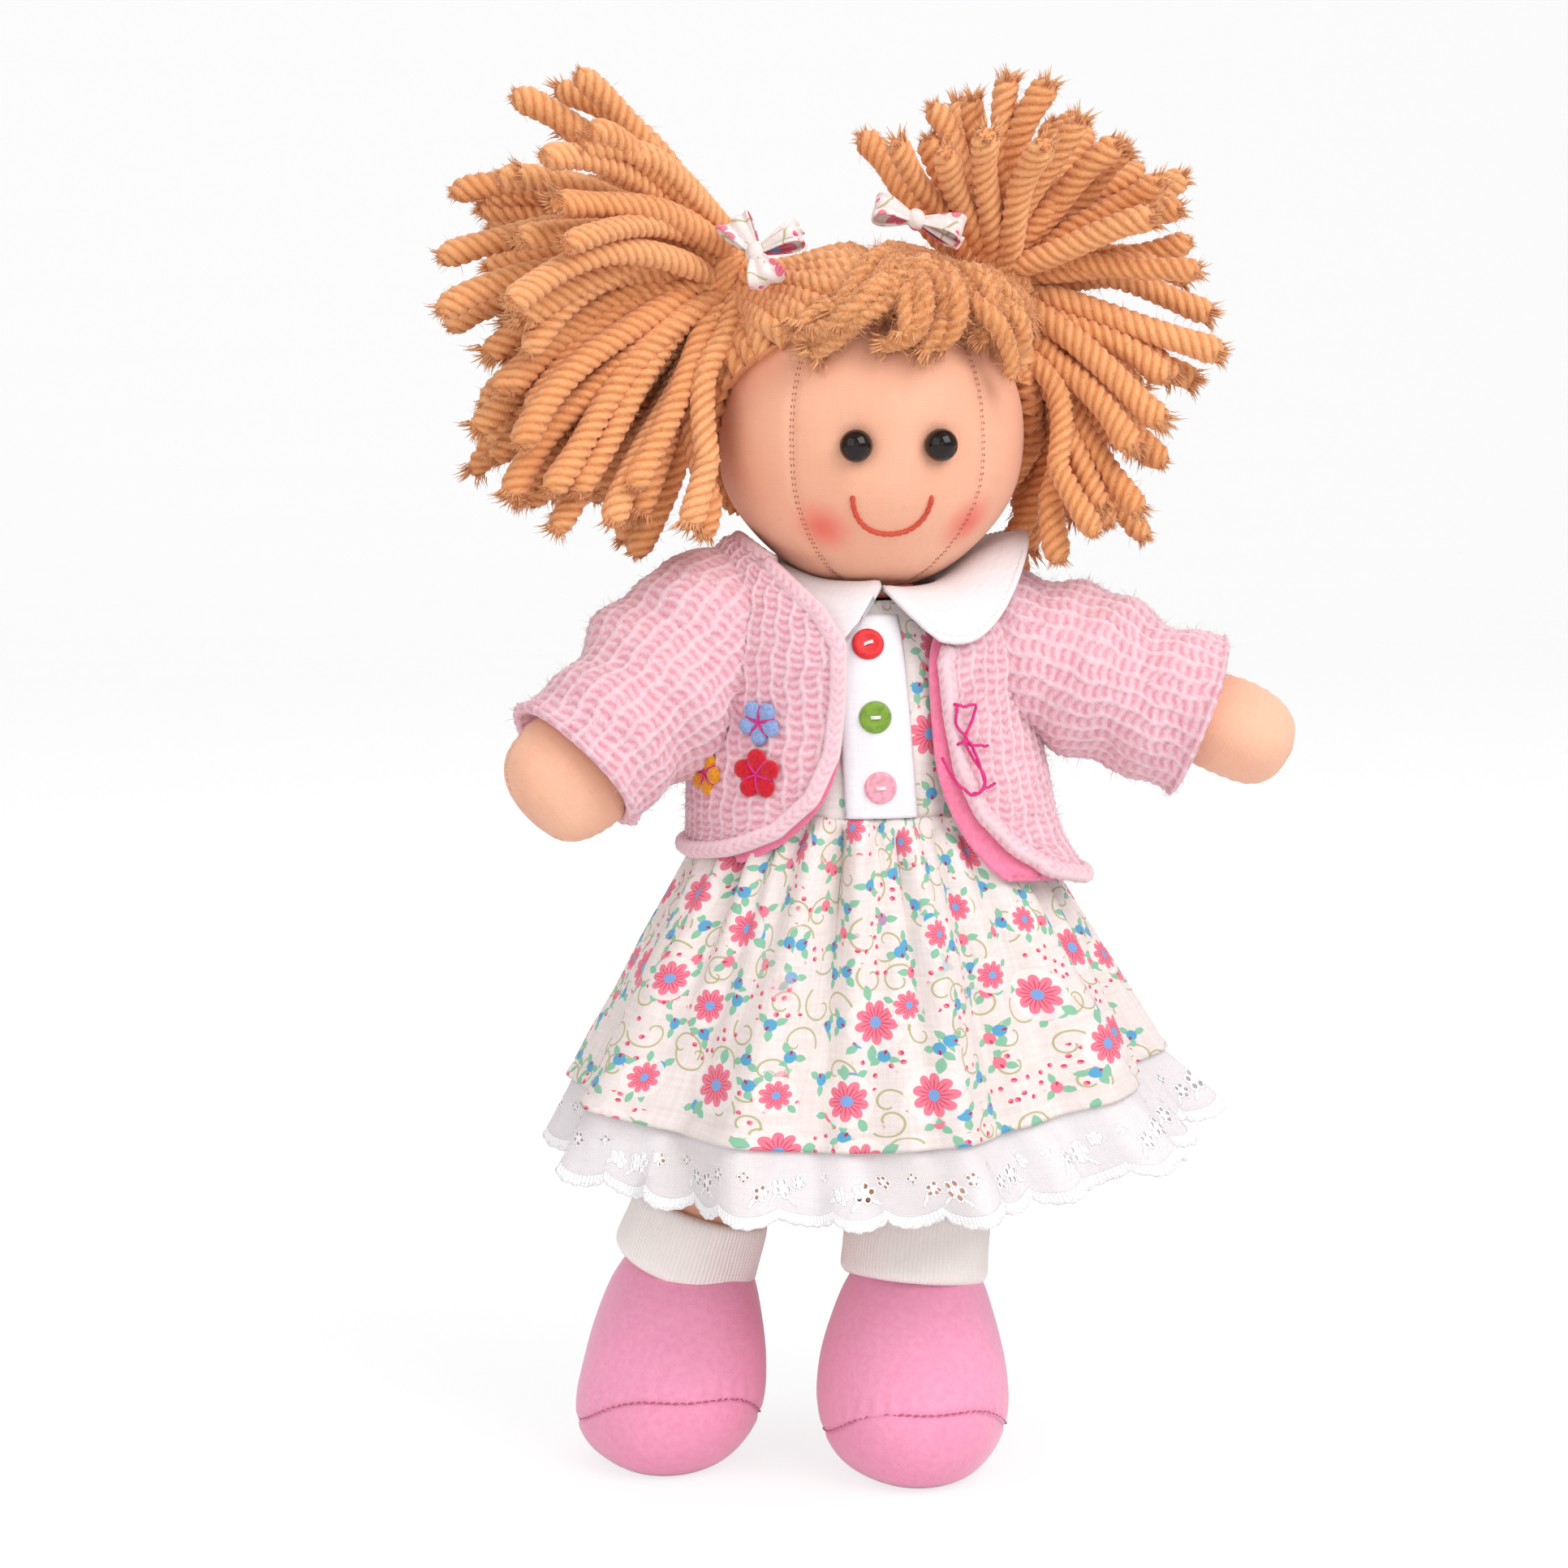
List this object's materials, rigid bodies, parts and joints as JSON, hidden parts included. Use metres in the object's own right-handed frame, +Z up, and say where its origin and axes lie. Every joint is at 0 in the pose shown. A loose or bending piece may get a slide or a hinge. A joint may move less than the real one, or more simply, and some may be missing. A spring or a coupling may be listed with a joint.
{
  "type": "rag doll",
  "caption": "Soft stuffed rag doll that stands on padded shoes, with yarn bunches, a print dress and an open knitted cardigan; its head, arms, legs and bunches move.",
  "frame": {"origin": "middle of the bounding box on the floor, between the shoes", "axes": "+Z up, -Y the way the doll faces, +X to its left hand"},
  "size_m": [0.1834, 0.1056, 0.2912],
  "materials": {
    "skin_cotton": "peach cotton sheeting, plain weave, matt",
    "yarn": "thick ginger yarn, plied and loosely twisted, matt and fuzzy",
    "white_cotton": "white cotton, plain weave",
    "print_cotton": "white cotton lawn with a small flower print in pink, blue and green",
    "eyelet": "thin white cotton with eyelet embroidery and a scalloped edge",
    "rib_knit": "pale pink chunky rib knit",
    "facing_cotton": "pink woven cotton",
    "shoe_cotton": "pink cotton, plain weave, stuffed firm",
    "sock_rib": "off-white fine rib knit",
    "black_bead": "glossy black bead",
    "button_red": "glossy two-hole button",
    "button_green": "glossy two-hole button",
    "button_pink": "glossy two-hole button",
    "felt_red": "wool felt",
    "felt_yellow": "wool felt",
    "felt_blue": "wool felt",
    "red_thread": "stranded embroidery thread"
  },
  "bodies": {
    "torso": {"torso": "skin_cotton", "hip_tab_right": "skin_cotton", "hip_tab_left": "skin_cotton", "bodice": "print_cotton", "placket": "white_cotton", "button_red": "button_red", "button_green": "button_green", "button_pink": "button_pink", "collar_right": "white_cotton", "collar_left": "white_cotton", "skirt": "print_cotton", "frill": "eyelet", "cardigan_back": "rib_knit", "cardigan_front_right": "rib_knit", "cardigan_front_left": "rib_knit", "facing_left": "facing_cotton", "flower_red": "felt_red", "flower_yellow": "felt_yellow", "flower_blue": "felt_blue"},
    "neck": {"neck": "skin_cotton"},
    "head": {"head": "skin_cotton", "eye_right": "black_bead", "eye_left": "black_bead", "mouth_thread": "red_thread", "hair_cap": "yarn", "fringe": "yarn", "bow_right": "print_cotton", "bow_left": "print_cotton"},
    "bunch_right": {"bunch_right": "yarn", "hair_tie_right": "yarn"},
    "shoulder_tab_right": {"shoulder_tab_right": "skin_cotton"},
    "arm_right": {"arm_right": "skin_cotton", "sleeve_right": "rib_knit"},
    "leg_right": {"leg_right": "skin_cotton", "cuff_right": "sock_rib", "shoe_right": "shoe_cotton", "sole_right": "shoe_cotton"},
    "bunch_left": {"bunch_left": "yarn", "hair_tie_left": "yarn"},
    "shoulder_tab_left": {"shoulder_tab_left": "skin_cotton"},
    "arm_left": {"arm_left": "skin_cotton", "sleeve_left": "rib_knit"},
    "leg_left": {"leg_left": "skin_cotton", "cuff_left": "sock_rib", "shoe_left": "shoe_cotton", "sole_left": "shoe_cotton"}
  },
  "joints": [
    {"name": "head_turn", "type": "hinge", "parent": "torso", "child": "neck", "pos_m": [0.00206, 0.001, 0.186], "axis": [0, 0, 1], "range_deg": [-35, 35]},
    {"name": "head_nod", "type": "hinge", "parent": "neck", "child": "head", "pos_m": [0.00206, 0.001, 0.219], "axis": [1, 0, 0], "range_deg": [-6, 10]},
    {"name": "arm_right_raise", "type": "hinge", "parent": "torso", "child": "shoulder_tab_right", "pos_m": [-0.03094, 0, 0.178], "axis": [0, 1, 0], "range_deg": [-5, 20]},
    {"name": "arm_right_swing", "type": "hinge", "parent": "shoulder_tab_right", "child": "arm_right", "pos_m": [-0.03094, 0, 0.178], "axis": [0, 0, 1], "range_deg": [-15, 22]},
    {"name": "arm_left_raise", "type": "hinge", "parent": "torso", "child": "shoulder_tab_left", "pos_m": [0.03206, 0, 0.1736], "axis": [0, -1, 0], "range_deg": [-5, 20]},
    {"name": "arm_left_swing", "type": "hinge", "parent": "shoulder_tab_left", "child": "arm_left", "pos_m": [0.03206, 0, 0.1736], "axis": [0, 0, -1], "range_deg": [-15, 22]},
    {"name": "leg_right_swing", "type": "hinge", "parent": "torso", "child": "leg_right", "pos_m": [-0.01644, 0.002, 0.107], "axis": [-1, 0, 0], "range_deg": [-12, 25]},
    {"name": "leg_left_swing", "type": "hinge", "parent": "torso", "child": "leg_left", "pos_m": [0.01756, 0.002, 0.107], "axis": [-1, 0, 0], "range_deg": [-12, 25]},
    {"name": "bunch_right_lift", "type": "hinge", "parent": "head", "child": "bunch_right", "pos_m": [-0.02894, 0.004, 0.2505], "axis": [0, 1, 0], "range_deg": [0, 12]},
    {"name": "bunch_left_lift", "type": "hinge", "parent": "head", "child": "bunch_left", "pos_m": [0.03156, 0.004, 0.2505], "axis": [0, -1, 0], "range_deg": [0, 12]}
  ]
}
